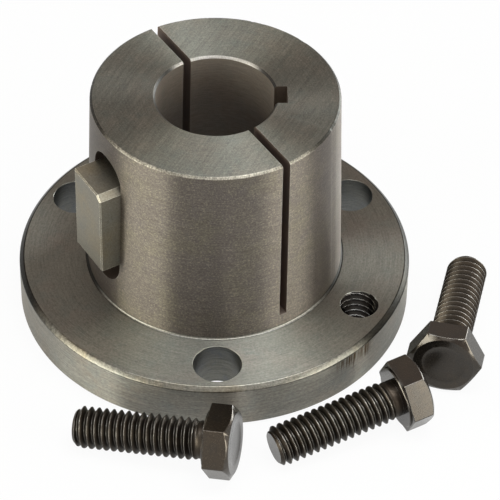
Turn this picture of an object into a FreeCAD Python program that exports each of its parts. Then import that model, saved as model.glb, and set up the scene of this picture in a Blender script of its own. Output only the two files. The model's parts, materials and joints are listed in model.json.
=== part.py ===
import FreeCAD, Part
import Sketcher
import math
import os

# Tapered bushing with a bolt-on flange, its external key and its three cap screws, in millimetres.
# The bore axis is Z. The origin lies on it, in the flange's back face. The bore's keyway points along +X.
# The bushing and its key are drawn with the key on +X and then turned, so angles below count from the key.

SIZES = [
    # Turned blank
    ("flange_thickness", 9.55, "about 3/8 in"),
    ("flange_front_chamfer", 0.8, "front rim"),
    ("flange_back_chamfer", 0.4, "back rim"),
    ("overall_length", 48.42, "1 29/32 in, back face to small end"),
    ("barrel_large_diameter", 48.7, "at the flange's front face"),
    ("barrel_taper", 0.0625, "loss of diameter per length, 3/4 in per foot"),
    ("barrel_end_break", 0.4, "chamfer round the small end"),
    ("barrel_root_fillet", 0.5, "between barrel and flange"),
    ("bore_diameter", 22.225, "7/8 in"),
    ("bore_chamfer", 0.42, "both mouths of the bore"),
    # Saw slots that let the barrel close on the shaft
    ("slot_width", 1.5875, "1/16 in"),
    ("slot_floor_above_flange", 2.9, "what stays uncut over the flange's front face"),
    ("slot_lean", 1.03, "degrees, away from the key as the cut rises from its floor on the bore axis"),
    ("slot_turn", 0.8, "degrees about the bore, off the line square to the key"),
    # Keyway for the shaft's key
    ("keyway_width", 4.7625, "3/16 in"),
    ("keyway_depth", 2.1375, "bore wall to the keyway's floor, at the keyway's middle"),
    ("keyway_angle", 150, "from the external key, about the bore"),
    # External key and its milled seat
    ("key_width", 9.525, "3/8 in"),
    ("key_thickness", 9.525, "3/8 in, seat floor to outer face"),
    ("key_length", 18.2, ""),
    ("key_seat_rise", 0.315, "seat's middle over the barrel's middle"),
    ("key_slide", 0.6, "key's middle over its seat's middle"),
    ("key_seat_depth", 6.55, "seat's floor under the barrel's surface at the flange"),
    ("key_side_clearance", 0.02, "each side of the key"),
    ("key_end_clearance", 0.65, "each end of the key, to where the seat's round ends begin"),
    ("key_bevel", 1.1, "lead-in on one upper edge"),
    ("key_edge_break", 0.25, "all other outer edges"),
    # Holes in the flange, which put the bolt circle at 2 7/16 in and the flange just under 3 in across
    ("hole_to_barrel", 2.04125, "metal between the barrel's foot and a clearance hole"),
    ("hole_to_rim", 2.02875, "metal between a clearance hole and the flange's rim"),
    ("hole_clearance", 1.38, "clearance holes over the screws' thread, on the diameter: 23/64 in holes"),
    ("hole_edge_break", 0.2, "clearance holes, front face"),
    ("hole_back_break", 0.45, "clearance holes, back face"),
    ("hole_count", 3, ""),
    ("first_hole_angle", 60, "from the external key"),
    ("tapped_hole_countersink", 0.35, "widening at the front face, on the radius"),
    ("tapped_hole_count", 2, "midway between clearance holes, none in line with the external key"),
    # Cap screws, 5/16-18 by 1 in
    ("screw_length", 25, "under the head"),
    ("thread_major", 7.75, "thread's outer diameter"),
    ("thread_depth", 0.575, "crest to root, leaves the tapped holes 6.6 across"),
    ("screw_tip_chamfer", 0.9, ""),
    ("neck_depth", 0.375, "plain neck under the thread's crests, between head and thread"),
    ("neck_length", 1.1, ""),
    ("head_across_flats", 12.45, "1/2 in hexagon"),
    ("head_height", 5.1, "bearing face to top"),
    ("head_top_inset", 0.475, "head's flats to the circle that the corner chamfer leaves on the top"),
    ("head_chamfer_angle", 30, ""),
    ("head_dish_rim", 1.35, "width of the flat ring round the shallow recess in the top"),
    ("head_dish_slope", 0.6, "width of the recess's sloping edge"),
    ("head_dish_depth", 0.3, ""),
    ("washer_face_inset", 0.325, "head's flats to the edge of the washer face"),
    ("washer_face_height", 0.35, ""),
    # Where the screws lie. A heading points from head to tip. Angles here count from +X, after the turn.
    ("middle_screw_bearing", -48.257, "bore axis to the middle of its bearing face"),
    ("middle_screw_gap", 4.42, "flange's rim to the head's corners"),
    ("middle_screw_heading", 204.15, ""),
    ("left_screw_bearing", 180.785, "middle screw's tip to the left screw's bearing face"),
    ("left_screw_gap", 6.72, "middle screw's tip to the left screw's head"),
    ("left_screw_heading", 165.75, ""),
    ("right_screw_bearing", 50.062, "middle screw's bearing face to the right screw's"),
    ("right_screw_gap", 4.38, "what keeps the two heads apart, past half a head's width and its height"),
    ("right_screw_heading", 76.25, ""),
]

# Barrel and flange
BARREL_FOOT_RADIUS = "dims.barrel_large_diameter / 2"
SMALL_END_RADIUS = ("(dims.barrel_large_diameter - dims.barrel_taper"
                    " * (dims.overall_length - dims.flange_thickness)) / 2")
HOLE_RADIUS = "(dims.thread_major + dims.hole_clearance) / 2"
TAPPED_RADIUS = "(dims.thread_major / 2 - dims.thread_depth)"
BOLT_CIRCLE_RADIUS = f"({BARREL_FOOT_RADIUS} + dims.hole_to_barrel + {HOLE_RADIUS})"
FLANGE_RADIUS = f"({BOLT_CIRCLE_RADIUS} + {HOLE_RADIUS} + dims.hole_to_rim)"
# External key and its seat
SEAT_FLOOR = f"({BARREL_FOOT_RADIUS} - dims.key_seat_depth)"
SEAT_MIDDLE = "((dims.flange_thickness + dims.overall_length) / 2 + dims.key_seat_rise)"
KEY_MIDDLE = f"({SEAT_MIDDLE} + dims.key_slide)"
# Head of a screw
HEAD_CORNER_RADIUS = "(dims.head_across_flats / 2 / cos(30 deg))"
HEAD_TOP_RADIUS = "(dims.head_across_flats / 2 - dims.head_top_inset)"
DISH_RADIUS = f"({HEAD_TOP_RADIUS} - dims.head_dish_rim)"
# A lying screw touches the ground with its head's lower flat and with its last full thread
SCREW_TILT = ("atan((dims.head_across_flats - dims.thread_major) / 2"
              " / (dims.screw_length - dims.screw_tip_chamfer + dims.washer_face_height))")
SCREW_RISE = (f"dims.head_across_flats / 2 * cos({SCREW_TILT})"
              f" - dims.washer_face_height * sin({SCREW_TILT})")

UP = FreeCAD.Vector(0, 0, 1)
# A sketch's own second axis
ALONG = FreeCAD.Vector(0, 1, 0)
# Slack for finding an edge by its place
TOLERANCE = 1e-4


def make_sheet(doc):
    """Spreadsheet with one row for each size: its name, its value and a note."""
    sheet = doc.addObject("Spreadsheet::Sheet", "dims")
    for row, (name, value, note) in enumerate(SIZES, 1):
        sheet.set(f"A{row}", name)
        sheet.set(f"B{row}", str(value))
        sheet.set(f"C{row}", note)
        sheet.setAlias(f"B{row}", name)
    doc.recompute()
    return sheet


def make_body(doc, label):
    """Empty body named after its piece."""
    body = doc.addObject("PartDesign::Body", label)
    body.Label = label
    return body


def origin_plane(body, role):
    """One of the body's own three planes."""
    return next(item for item in body.Origin.OriginFeatures if item.Role == role)


def make_sketch(body, name, role="XY_Plane", height=None, turn=None, axis=UP):
    """Sketch on one of the body's planes, raised along its normal and turned about an axis by expressions."""
    sketch = body.newObject("Sketcher::SketchObject", name)
    sketch.AttachmentSupport = [(origin_plane(body, role), "")]
    sketch.MapMode = "FlatFace"
    if turn:
        sketch.AttachmentOffset = FreeCAD.Placement(FreeCAD.Vector(), FreeCAD.Rotation(axis, 1))
        sketch.setExpression("AttachmentOffset.Rotation.Angle", turn)
    if height:
        sketch.setExpression("AttachmentOffset.Base.z", height)
    return sketch


def number(sketch, text):
    """Value of an expression as the sheet stands."""
    value = sketch.evalExpression(text)
    return float(getattr(value, "Value", value))


def bind(sketch, kind, places, text):
    """Adds a dimension whose value follows the sheet."""
    value = number(sketch, text)
    index = sketch.addConstraint(Sketcher.Constraint(kind, *places, value))
    sketch.setExpression(f"Constraints[{index}]", text)


def pin_point(sketch, line, end, across, up):
    """Ties a point of the sketch to its distances from the sketch's two axes."""
    for kind, axis, text in (("DistanceX", -2, across), ("DistanceY", -1, up)):
        if text == "0":
            sketch.addConstraint(Sketcher.Constraint("PointOnObject", line, end, axis))
        else:
            bind(sketch, kind, (-1, 1, line, end), text)


def draw_outline(sketch, corners):
    """Closed outline of straight lines through corners given as pairs of expressions."""
    points = [FreeCAD.Vector(number(sketch, x), number(sketch, y), 0) for x, y in corners]
    count = len(points)
    lines = [sketch.addGeometry(Part.LineSegment(points[i], points[(i + 1) % count])) for i in range(count)]
    for i in range(count):
        sketch.addConstraint(Sketcher.Constraint("Coincident", lines[i], 2, lines[(i + 1) % count], 1))
    for line, (across, up) in zip(lines, corners):
        pin_point(sketch, line, 1, across, up)


def draw_circle(sketch, across, radius):
    """Circle centred on the sketch's horizontal axis."""
    middle = FreeCAD.Vector(number(sketch, across), 0, 0)
    circle = sketch.addGeometry(Part.Circle(middle, UP, number(sketch, radius)))
    pin_point(sketch, circle, 3, across, "0")
    bind(sketch, "Radius", (circle,), radius)


def draw_stadium(sketch, low, high, radius):
    """Upright slot outline: two half circles centred on the vertical axis, joined by their tangents."""
    size, bottom, top = (number(sketch, text) for text in (radius, low, high))
    upper = Part.ArcOfCircle(Part.Circle(FreeCAD.Vector(0, top, 0), UP, size), 0, math.pi)
    lower = Part.ArcOfCircle(Part.Circle(FreeCAD.Vector(0, bottom, 0), UP, size), math.pi, 2 * math.pi)
    left = Part.LineSegment(FreeCAD.Vector(-size, top, 0), FreeCAD.Vector(-size, bottom, 0))
    right = Part.LineSegment(FreeCAD.Vector(size, bottom, 0), FreeCAD.Vector(size, top, 0))
    ring = [sketch.addGeometry(item) for item in (upper, left, lower, right)]
    for here, after in zip(ring, ring[1:] + ring[:1]):
        sketch.addConstraint(Sketcher.Constraint("Tangent", here, 2, after, 1))
    for arc, height in ((ring[0], high), (ring[2], low)):
        pin_point(sketch, arc, 3, "0", height)
    sketch.addConstraint(Sketcher.Constraint("Equal", ring[0], ring[2]))
    bind(sketch, "Radius", (ring[0],), radius)


def add_feature(body, kind, name, **settings):
    """Feature of a body. A setting given as text that names the sheet becomes an expression."""
    feature = body.newObject(f"PartDesign::{kind}", name)
    for key, value in settings.items():
        if isinstance(value, str) and "dims." in value:
            feature.setExpression(key, value)
        else:
            setattr(feature, key, value)
    body.Document.recompute()
    return feature


def cut_feature(body, kind, name, **settings):
    """Feature that has to take material away."""
    before = body.Tip.Shape.Volume
    feature = add_feature(body, kind, name, **settings)
    body.Tip = feature
    if feature.Shape.isNull() or feature.Shape.Volume >= before:
        raise RuntimeError(f"{name} takes nothing away")
    return feature


def drill(body, name, turn, radius, edge):
    """Straight hole down through the flange, on the bolt circle, with a broken front edge."""
    sketch = make_sketch(body, f"{name}_place", height="dims.flange_thickness", turn=turn)
    draw_circle(sketch, BOLT_CIRCLE_RADIUS, radius)
    body.Document.recompute()
    return cut_feature(body, "Hole", name, Profile=sketch, DepthType="ThroughAll", Threaded=False,
                       Diameter=f"2 * {radius}", HoleCutType="Countersink",
                       HoleCutDiameter=f"2 * ({radius} + {edge})", HoleCutCountersinkAngle=90)


def repeat_round(body, name, feature, angle, count):
    """Copies of a cut about the body's vertical axis."""
    axis = (origin_plane(body, "Z_Axis"), [""])
    return cut_feature(body, "PolarPattern", name, Originals=[feature], Axis=axis, Angle=angle,
                       Occurrences=count)


def edges_where(shape, test):
    """Names of the edges whose ends and middle all pass a test."""
    names = []
    for index, edge in enumerate(shape.Edges, 1):
        span = (edge.FirstParameter, (edge.FirstParameter + edge.LastParameter) / 2, edge.LastParameter)
        if all(test(edge.valueAt(parameter)) for parameter in span):
            names.append(f"Edge{index}")
    if not names:
        raise RuntimeError("no edge found to dress")
    return names


def make_bushing(doc, sheet):
    """Turned flange and tapered barrel with bore, keyway, saw slots, key seat and flange holes."""
    body = make_body(doc, "bushing_body")
    blank = make_sketch(body, "blank_section", "XZ_Plane")
    draw_outline(blank, [
        ("dims.bore_diameter / 2 + dims.bore_chamfer", "0"),
        (f"{FLANGE_RADIUS} - dims.flange_back_chamfer", "0"),
        (FLANGE_RADIUS, "dims.flange_back_chamfer"),
        (FLANGE_RADIUS, "dims.flange_thickness - dims.flange_front_chamfer"),
        (f"{FLANGE_RADIUS} - dims.flange_front_chamfer", "dims.flange_thickness"),
        (BARREL_FOOT_RADIUS, "dims.flange_thickness"),
        (f"{SMALL_END_RADIUS} + dims.barrel_taper / 2 * dims.barrel_end_break",
         "dims.overall_length - dims.barrel_end_break"),
        (f"{SMALL_END_RADIUS} - dims.barrel_end_break", "dims.overall_length"),
        ("dims.bore_diameter / 2 + dims.bore_chamfer", "dims.overall_length"),
        ("dims.bore_diameter / 2", "dims.overall_length - dims.bore_chamfer"),
        ("dims.bore_diameter / 2", "dims.bore_chamfer"),
    ])
    turned = add_feature(body, "Revolution", "turned_blank", Profile=blank,
                         ReferenceAxis=(blank, ["V_Axis"]), Angle=360)
    body.Tip = turned

    foot_radius = sheet.barrel_large_diameter / 2
    face_height = sheet.flange_thickness
    root = edges_where(turned.Shape, lambda p: abs(math.hypot(p.x, p.y) - foot_radius) < TOLERANCE
                       and abs(p.z - face_height) < TOLERANCE)
    fillet = add_feature(body, "Fillet", "barrel_root", Base=(turned, root), Radius="dims.barrel_root_fillet")
    body.Tip = fillet

    seat = make_sketch(body, "key_seat_outline", "YZ_Plane", height=SEAT_FLOOR)
    half_straight = "(dims.key_length / 2 + dims.key_end_clearance)"
    draw_stadium(seat, f"{SEAT_MIDDLE} - {half_straight}", f"{SEAT_MIDDLE} + {half_straight}",
                 "dims.key_width / 2 + dims.key_side_clearance")
    cut_feature(body, "Pocket", "key_seat", Profile=seat, Type="Length", Reversed=True,
                Length="dims.barrel_large_diameter / 2")

    slot = make_sketch(body, "slot_outline", "XZ_Plane", turn="dims.slot_turn", axis=ALONG)
    floor = "dims.flange_thickness + dims.slot_floor_above_flange"
    past_end = "dims.overall_length + dims.slot_width"
    drift = f"({past_end} - {floor}) * tan(dims.slot_lean * 1 deg)"
    half_slot = "dims.slot_width / 2"
    draw_outline(slot, [(f"-{half_slot}", floor), (half_slot, floor), (f"{half_slot} - {drift}", past_end),
                        (f"-{half_slot} - {drift}", past_end)])
    cut_feature(body, "Pocket", "saw_slots", Profile=slot, Type="Length", Midplane=True,
                Length="2 * dims.barrel_large_diameter")

    keyway = make_sketch(body, "keyway_outline", height="dims.overall_length", turn="dims.keyway_angle")
    keyway_floor = "dims.bore_diameter / 2 + dims.keyway_depth"
    half_keyway = "dims.keyway_width / 2"
    draw_outline(keyway, [("dims.bore_diameter / 4", f"-{half_keyway}"), (keyway_floor, f"-{half_keyway}"),
                          (keyway_floor, half_keyway), ("dims.bore_diameter / 4", half_keyway)])
    cut_feature(body, "Pocket", "keyway", Profile=keyway, Type="ThroughAll")

    hole = drill(body, "clearance_hole", "dims.first_hole_angle", HOLE_RADIUS, "dims.hole_edge_break")
    holes = repeat_round(body, "clearance_holes", hole, 360, "dims.hole_count")
    bolt_circle, hole_radius = number(blank, BOLT_CIRCLE_RADIUS), number(blank, HOLE_RADIUS)
    back = edges_where(holes.Shape, lambda p: abs(p.z) < TOLERANCE
                       and abs(math.hypot(p.x, p.y) - bolt_circle) < hole_radius + TOLERANCE)
    cut_feature(body, "Chamfer", "hole_backs", Base=(holes, back), Size="dims.hole_back_break")
    tapped = drill(body, "tapped_hole", "dims.first_hole_angle + 180 / dims.hole_count", TAPPED_RADIUS,
                   "dims.tapped_hole_countersink")
    repeat_round(body, "tapped_holes", tapped,
                 "360 / dims.hole_count * (dims.tapped_hole_count - 1)", "dims.tapped_hole_count")
    return body


def make_key(doc, sheet):
    """Square bar key that stands in the milled seat."""
    body = make_body(doc, "external_key")
    outline = make_sketch(body, "key_section", height=f"{KEY_MIDDLE} - dims.key_length / 2")
    outer = f"{SEAT_FLOOR} + dims.key_thickness"
    draw_outline(outline, [(SEAT_FLOOR, "-dims.key_width / 2"), (outer, "-dims.key_width / 2"),
                           (outer, "dims.key_width / 2"), (SEAT_FLOOR, "dims.key_width / 2")])
    bar = add_feature(body, "Pad", "key_bar", Profile=outline, Length="dims.key_length")
    body.Tip = bar

    half_width = sheet.key_width / 2
    top = number(outline, f"{KEY_MIDDLE} + dims.key_length / 2")
    face = number(outline, outer)
    upper = edges_where(bar.Shape, lambda p: abs(p.y - half_width) < TOLERANCE and abs(p.z - top) < TOLERANCE)
    bevel = cut_feature(body, "Chamfer", "lead_in", Base=(bar, upper), Size="dims.key_bevel")
    rim = edges_where(bevel.Shape, lambda p: abs(p.x - face) < TOLERANCE)
    cut_feature(body, "Chamfer", "broken_edges", Base=(bevel, rim), Size="dims.key_edge_break")
    return body


def make_screw(doc, side):
    """Hexagon cap screw that lies on its head's flat and its tip, shank along the body's own Z."""
    body = make_body(doc, f"cap_screw_{side}")
    shank = make_sketch(body, "shank_section", "XZ_Plane")
    washer = "dims.head_across_flats / 2 - dims.washer_face_inset"
    major = "dims.thread_major / 2"
    neck = f"{major} - dims.neck_depth"
    draw_outline(shank, [
        ("0", "-dims.washer_face_height"),
        (washer, "-dims.washer_face_height"),
        (washer, "0"),
        (neck, "0"),
        (neck, "dims.neck_length"),
        (major, "dims.neck_length + dims.neck_depth"),
        (major, "dims.screw_length - dims.screw_tip_chamfer"),
        (f"{major} - dims.screw_tip_chamfer", "dims.screw_length"),
        ("0", "dims.screw_length"),
    ])
    turned = add_feature(body, "Revolution", "shank", Profile=shank,
                         ReferenceAxis=(shank, ["V_Axis"]), Angle=360)
    body.Tip = turned

    hexagon = make_sketch(body, "head_outline", height="-dims.washer_face_height")
    draw_outline(hexagon, [(f"{HEAD_CORNER_RADIUS} * cos({angle} deg)",
                            f"{HEAD_CORNER_RADIUS} * sin({angle} deg)") for angle in range(30, 390, 60)])
    head = add_feature(body, "Pad", "head", Profile=hexagon, Reversed=True,
                       Length="dims.head_height - dims.washer_face_height")
    body.Tip = head

    crown = make_sketch(body, "crown_section", "XZ_Plane")
    reach = f"({HEAD_CORNER_RADIUS} + dims.head_height)"
    slope = f"({reach} - {HEAD_TOP_RADIUS}) * tan(dims.head_chamfer_angle * 1 deg)"
    draw_outline(crown, [
        (HEAD_TOP_RADIUS, "-dims.head_height"),
        (reach, "-dims.head_height"),
        (reach, f"-dims.head_height + {slope}"),
    ])
    cut_feature(body, "Groove", "corner_chamfer", Profile=crown, ReferenceAxis=(crown, ["V_Axis"]), Angle=360)

    dish = make_sketch(body, "dish_section", "XZ_Plane")
    draw_outline(dish, [
        ("0", "-dims.head_height"),
        (DISH_RADIUS, "-dims.head_height"),
        (f"{DISH_RADIUS} - dims.head_dish_slope", "-dims.head_height + dims.head_dish_depth"),
        ("0", "-dims.head_height + dims.head_dish_depth"),
    ])
    cut_feature(body, "Groove", "top_dish", Profile=dish, ReferenceAxis=(dish, ["V_Axis"]), Angle=360)
    return body


def place_bushing_piece(body):
    """Turns a piece that was built with the external key on +X, so that the keyway points along +X."""
    body.Placement = FreeCAD.Placement(FreeCAD.Vector(), FreeCAD.Rotation(UP, 1))
    body.setExpression("Placement.Rotation.Angle", "-dims.keyway_angle")


def step_from(start, distance, bearing):
    """Place, as a pair of expressions, at a distance from another place in a given direction."""
    angle = f"({bearing}) * 1 deg"
    return tuple(f"{begin} + ({distance}) * {turn}({angle})" for begin, turn in zip(start, ("cos", "sin")))


def screw_spots():
    """Where the middle of each screw's bearing face lies on the ground."""
    middle = step_from(("0", "0"), f"{FLANGE_RADIUS} + {HEAD_CORNER_RADIUS} + dims.middle_screw_gap",
                       "dims.middle_screw_bearing")
    middle_tip = step_from(middle, "dims.screw_length", "dims.middle_screw_heading")
    return {
        "left": step_from(middle_tip, "dims.head_height + dims.left_screw_gap", "dims.left_screw_bearing"),
        "middle": middle,
        "right": step_from(middle, f"{HEAD_CORNER_RADIUS} + dims.head_height + dims.right_screw_gap",
                           "dims.right_screw_bearing"),
    }


def place_screw(body, side, spot):
    """Lays a screw down beside the flange, on its head's lower flat and its last full thread."""
    east, north = spot
    turn = f"rotation(dims.{side}_screw_heading; 90 * 1 deg + {SCREW_TILT}; 0 deg)"
    body.setExpression("Placement", f"placement(vector({east}; {north}; {SCREW_RISE}); {turn})")


def check_document(doc, bodies):
    """Stops if anything in the document failed or a piece is not one sound solid."""
    for item in doc.Objects:
        if "Invalid" in item.State or "Error" in item.State:
            raise RuntimeError(f"{item.Name} failed: {item.State}")
    for body in bodies:
        shape = body.Shape
        if shape.isNull() or not shape.isValid() or len(shape.Solids) != 1:
            raise RuntimeError(f"{body.Label} is not one valid solid")


def main():
    """Builds every piece and writes each to its own file."""
    doc = FreeCAD.newDocument("tapered_bushing")
    sheet = make_sheet(doc)
    bushing_pieces = [make_bushing(doc, sheet), make_key(doc, sheet)]
    for body in bushing_pieces:
        place_bushing_piece(body)
    screws = []
    for side, spot in screw_spots().items():
        screw = make_screw(doc, side)
        place_screw(screw, side, spot)
        screws.append(screw)
    doc.recompute()
    bodies = bushing_pieces + screws
    check_document(doc, bodies)
    os.makedirs("parts", exist_ok=True)
    for body in bodies:
        body.Shape.exportStep(f"parts/{body.Label}.step")
        box = body.Shape.optimalBoundingBox(True, False)
        print(f"{body.Label}: {body.Shape.Volume:.1f} mm3, from {box.ZMin:.3f} to {box.ZMax:.3f} in height")


main()
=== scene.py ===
"""Looks of a tapered shaft bushing, its external key and its three cap screws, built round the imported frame.

Lengths of the pieces are in millimetres and become metres when a mesh is made. The studio is in metres.
"""
import json
import logging
import math
from dataclasses import dataclass, field
from enum import Enum
from functools import cached_property
from typing import Callable, Iterable, Sequence

import bmesh
import bpy
from mathutils import Matrix, Vector, noise


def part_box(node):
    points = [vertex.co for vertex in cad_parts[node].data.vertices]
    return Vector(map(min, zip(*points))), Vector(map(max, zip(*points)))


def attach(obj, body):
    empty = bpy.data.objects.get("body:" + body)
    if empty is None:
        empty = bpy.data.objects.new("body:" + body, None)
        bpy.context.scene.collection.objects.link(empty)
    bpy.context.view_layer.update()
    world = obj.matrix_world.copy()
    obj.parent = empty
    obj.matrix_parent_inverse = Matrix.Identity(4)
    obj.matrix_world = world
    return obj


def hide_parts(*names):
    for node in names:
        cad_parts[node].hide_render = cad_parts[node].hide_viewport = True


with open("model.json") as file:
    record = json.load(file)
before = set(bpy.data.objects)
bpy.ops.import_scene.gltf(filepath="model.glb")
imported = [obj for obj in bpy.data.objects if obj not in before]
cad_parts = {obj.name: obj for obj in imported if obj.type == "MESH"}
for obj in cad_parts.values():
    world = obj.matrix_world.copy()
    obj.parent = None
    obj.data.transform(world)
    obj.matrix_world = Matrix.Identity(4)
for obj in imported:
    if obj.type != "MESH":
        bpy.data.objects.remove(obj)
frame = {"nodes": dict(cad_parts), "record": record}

MM = 0.001
TURN = 2 * math.pi
SHARP_EDGE = math.radians(28)
SAME_PLACE = 1e-6
NORMALS_WEIGHT = 60
Colour = tuple[float, float, float]
Ring = Callable[[float], tuple[float, float]]
Shape = bmesh.types.BMesh
Socket = bpy.types.NodeSocket
Value = float | Socket

log = logging.getLogger("bushing")


# Meshes


def mesh_object(name: str, shape: Shape) -> bpy.types.Object:
    """Puts a shape into the scene.

    Args:
        name: The name of the object and of its mesh.
        shape: The shape, with its place in its vertices. It can't be used afterwards.
    Returns:
        The new object.
    """
    mesh = bpy.data.meshes.new(name)
    shape.to_mesh(mesh)
    shape.free()
    piece = bpy.data.objects.new(name, mesh)
    bpy.context.scene.collection.objects.link(piece)
    return piece


def apply_modifiers(piece: bpy.types.Object) -> None:
    """Replaces a piece's mesh by what its modifiers make of it, and removes the modifiers.

    Args:
        piece: The object.
    """
    graph = bpy.context.evaluated_depsgraph_get()
    graph.update()
    result = bpy.data.meshes.new_from_object(piece.evaluated_get(graph), depsgraph=graph)
    piece.modifiers.clear()
    piece.data = result


def polar_surface(rings: Sequence[Ring], angles: Sequence[float], slots: Sequence[int] = ()) -> Shape:
    """Closed skin through rings that each give a radius and a height for an angle.

    Args:
        rings: The rings in order. One whose radius is zero becomes a single point.
        angles: The angles at which each ring is sampled.
        slots: The material slot of the faces after each ring, or nothing for the first slot.
    Returns:
        The skin, with its normals pointing outwards.
    """
    shape = bmesh.new()
    rows = []
    for ring in rings:
        places = [(angle, *ring(angle)) for angle in angles]
        if not any(radius for _, radius, _ in places):
            places = places[:1]
        rows.append([
            shape.verts.new((radius * math.cos(angle) * MM, radius * math.sin(angle) * MM, height * MM))
            for angle, radius, height in places])
    pairs = list(zip(rows, rows[1:] + rows[:1]))
    if len(rows[0]) == 1:
        pairs.pop()
    for index, pair in enumerate(pairs):
        for step in range(len(angles)):
            after = (step + 1) % len(angles)
            low, high = ([row[at % len(row)] for at in (step, after)] for row in pair)
            face = shape.faces.new(list(dict.fromkeys(low + high[::-1])))
            face.material_index = slots[index] if slots else 0
            face.smooth = True
    bmesh.ops.recalc_face_normals(shape, faces=shape.faces)
    return shape


def even_angles(count: int) -> list[float]:
    """Returns that many evenly spaced angles of one turn."""
    return [TURN * step / count for step in range(count)]


def extruded(outline: Sequence[tuple[float, float]], low: float, high: float, placing: Matrix,
             slot: int) -> Shape:
    """Prism over an outline.

    Args:
        outline: Points across and along, in millimetres.
        low: Where the prism starts on its own third axis.
        high: Where it ends.
        placing: Turns and moves the prism.
        slot: The material slot of every face.
    Returns:
        The prism.
    """
    shape = bmesh.new()
    floors = [[shape.verts.new(placing @ Vector((x, y, level)) * MM) for x, y in outline]
              for level in (low, high)]
    shape.faces.new(floors[0][::-1])
    shape.faces.new(floors[1])
    for step in range(len(outline)):
        after = (step + 1) % len(outline)
        shape.faces.new((floors[0][step], floors[0][after], floors[1][after], floors[1][step]))
    for face in shape.faces:
        face.material_index = slot
    bmesh.ops.recalc_face_normals(shape, faces=shape.faces)
    return shape


def joined(shapes: Iterable[Shape]) -> Shape:
    """Puts several shells into one shape.

    Args:
        shapes: The shells, which can't be used afterwards.
    Returns:
        The shape.
    """
    whole = bmesh.new()
    for shape in shapes:
        shell = bpy.data.meshes.new("shell")
        shape.to_mesh(shell)
        shape.free()
        whole.from_mesh(shell)
        bpy.data.meshes.remove(shell)
    return whole


def closed(shape: Shape) -> Shape:
    """Closes a skin's open ends and turns its faces outwards.

    Args:
        shape: The skin.
    Returns:
        The same skin, closed.
    """
    bmesh.ops.dissolve_degenerate(shape, edges=shape.edges, dist=SAME_PLACE)
    bmesh.ops.holes_fill(shape, edges=[edge for edge in shape.edges if edge.is_boundary])
    bmesh.ops.recalc_face_normals(shape, faces=shape.faces)
    return shape


def boolean(piece: bpy.types.Object, other: bpy.types.Object, operation: str) -> None:
    """Joins or cuts a piece with another, which is removed afterwards.

    Args:
        piece: The piece that changes.
        other: The tool.
        operation: UNION or DIFFERENCE.
    """
    step = piece.modifiers.new("combine", "BOOLEAN")
    step.operation = operation
    step.solver = "MANIFOLD"
    step.object = other
    apply_modifiers(piece)
    bpy.data.objects.remove(other)


def finish_piece(piece: bpy.types.Object, node: str) -> None:
    """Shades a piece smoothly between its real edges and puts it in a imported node's place.

    Args:
        piece: The piece.
        node: The node that it stands for.
    """
    mesh = piece.data
    mesh.polygons.foreach_set("use_smooth", [True] * len(mesh.polygons))
    mesh.set_sharp_from_angle(angle=SHARP_EDGE)
    step = piece.modifiers.new("normals", "WEIGHTED_NORMAL")
    step.keep_sharp = True
    step.weight = NORMALS_WEIGHT
    apply_modifiers(piece)
    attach(piece, "root")
    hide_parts(node)
    log.info("%s: %d faces", piece.name, len(piece.data.polygons))


# Node trees


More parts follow.
